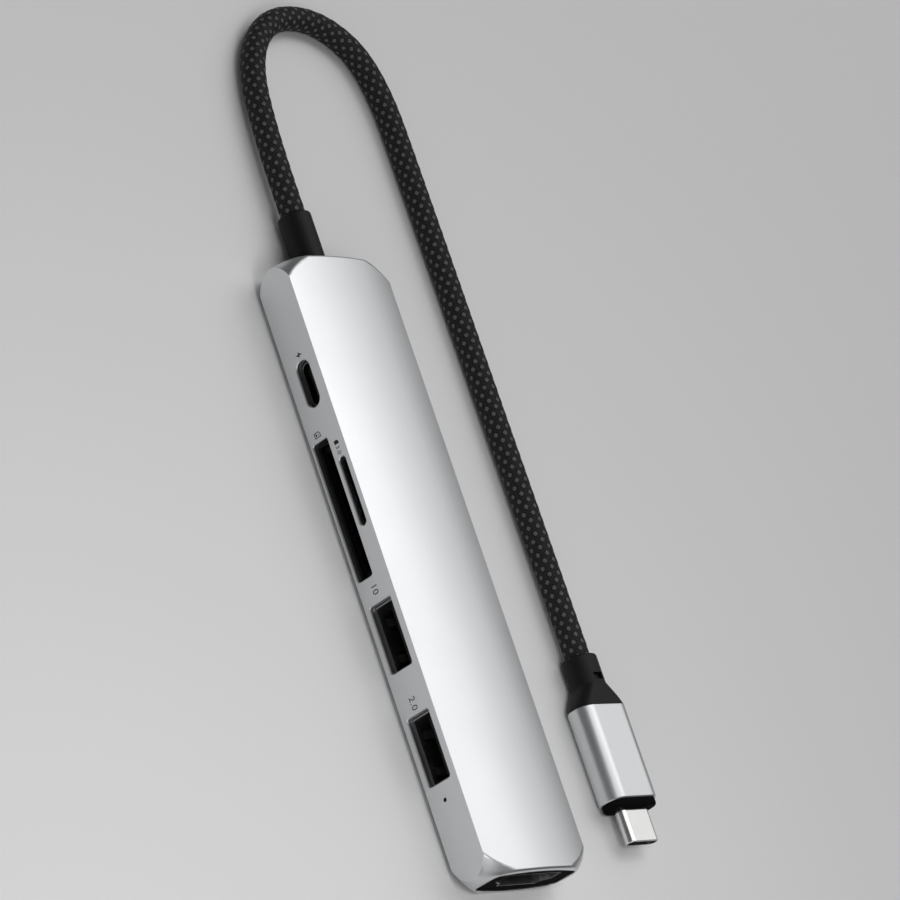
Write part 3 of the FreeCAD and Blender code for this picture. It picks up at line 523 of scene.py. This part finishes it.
BOLT = [[(0.16, 0.72), (-0.44, -0.1), (-0.05, -0.1), (-0.16, -0.72), (0.44, 0.1), (0.05, 0.1)]]
CARD = [
    [(-0.45, -0.6), (-0.33, -0.6), (-0.33, 0.3), (-0.11, 0.52), (-0.11, 0.64), (-0.45, 0.34)],
    [(0.33, -0.6), (0.45, -0.6), (0.45, 0.64), (0.33, 0.64)],
    [(-0.33, -0.6), (0.33, -0.6), (0.33, -0.48), (-0.33, -0.48)],
    [(-0.11, 0.52), (0.33, 0.52), (0.33, 0.64), (-0.11, 0.64)],
    [(-0.06, 0.16), (0.02, 0.16), (0.02, 0.4), (-0.06, 0.4)],
    [(0.14, 0.16), (0.22, 0.16), (0.22, 0.4), (0.14, 0.4)],
    [(-0.2, -0.34), (0.2, -0.34), (0.2, -0.06), (-0.2, -0.06)],
]
SMALL_CARD = [[(-0.36, -0.5), (0.36, -0.5), (0.36, 0.06), (0.26, 0.14), (0.36, 0.22),
               (0.36, 0.5), (-0.12, 0.5), (-0.2, 0.4), (-0.36, 0.24)]]


def port_marks():
    """Bolt, two card shapes and three numbers, printed beside the ports."""
    parts = [
        pictogram(BOLT, beside("usb_c_port_shell", 1.0, 0.25), 1.25 * MM),
        pictogram(CARD, beside("sd_socket_cover", 1.35, -1.65), 1.3 * MM),
        pictogram(SMALL_CARD, beside("microsd_cover", 2.9, 2.2), 1.1 * MM),
        numerals("3.0", beside("microsd_cover", 2.25, 1.72), 0.95 * MM),
        numerals("10", beside("usb_a_fast_shell", 2.9, -0.95), 1.45 * MM),
        numerals("2.0", beside("usb_a_slow_shell", 2.67, -0.9), 1.45 * MM),
    ]
    bm = bmesh.new()
    for mesh in parts:
        bm.from_mesh(mesh)
    bmesh.ops.remove_doubles(bm, verts=bm.verts, dist=0.0005 * MM)
    joined = bpy.data.meshes.new("port_marks")
    bm.to_mesh(joined)
    bm.free()
    joined.materials.append(moulded("mark_ink", (0.018, 0.018, 0.019), rough=0.5, grain=2400.0,
                                    depth=0.002 * MM, Specular_IOR_Level=0.2))
    new_object("port_marks", joined)


port_marks()


# ---- floor and light ------------------------------------------------------------------------
FLOOR_HALF = 3.0                # metres


def make_floor():
    """A pale table top."""
    mesh = bpy.data.meshes.new("floor")
    corners = [(x * FLOOR_HALF, y * FLOOR_HALF, 0) for x, y in ((-1, -1), (1, -1), (1, 1), (-1, 1))]
    mesh.from_pydata(corners, [], [(0, 1, 2, 3)])
    floor = bpy.data.objects.new("floor", mesh)
    bpy.context.scene.collection.objects.link(floor)
    mesh.materials.append(shader("floor_white", (0.9, 0.9, 0.9), roughness=0.6)[0])


def make_world():
    """A dim white world."""
    world = bpy.data.worlds.new("studio")
    bpy.context.scene.world = world
    world.use_nodes = True
    back = world.node_tree.nodes["Background"]
    back.inputs["Color"].default_value = (1.0, 1.0, 1.0, 1.0)
    back.inputs["Strength"].default_value = 0.11


def area_light(name, place, target, size, power, size_y=None):
    """Soft rectangular light at a place, aimed at a target; millimetres and watts."""
    data = bpy.data.lights.new(name, "AREA")
    data.shape = "RECTANGLE"
    data.size = size * MM
    data.size_y = (size_y or size) * MM
    data.energy = power
    obj = bpy.data.objects.new(name, data)
    bpy.context.scene.collection.objects.link(obj)
    obj.location = Vector(place) * MM
    aim = (Vector(target) - Vector(place)).normalized()
    obj.rotation_euler = aim.to_track_quat("-Z", "Y").to_euler()


make_floor()
make_world()
bpy.context.scene.view_settings.view_transform = "Standard"
area_light("key", place=(-330, 600, 780), target=(0, 0, 0), size=1000, power=2.5)
area_light("high", place=(-330, 400, 900), target=(0, 0, 0), size=800, power=0.85, size_y=500)
area_light("top", place=(-300, -60, 900), target=(0, 0, 0), size=600, power=0.9, size_y=400)
area_light("fill", place=(290, -260, 150), target=(40, -10, 0), size=420, power=0.3)
area_light("pool", place=(110, -110, 260), target=(80, -60, 0), size=120, power=0.21)
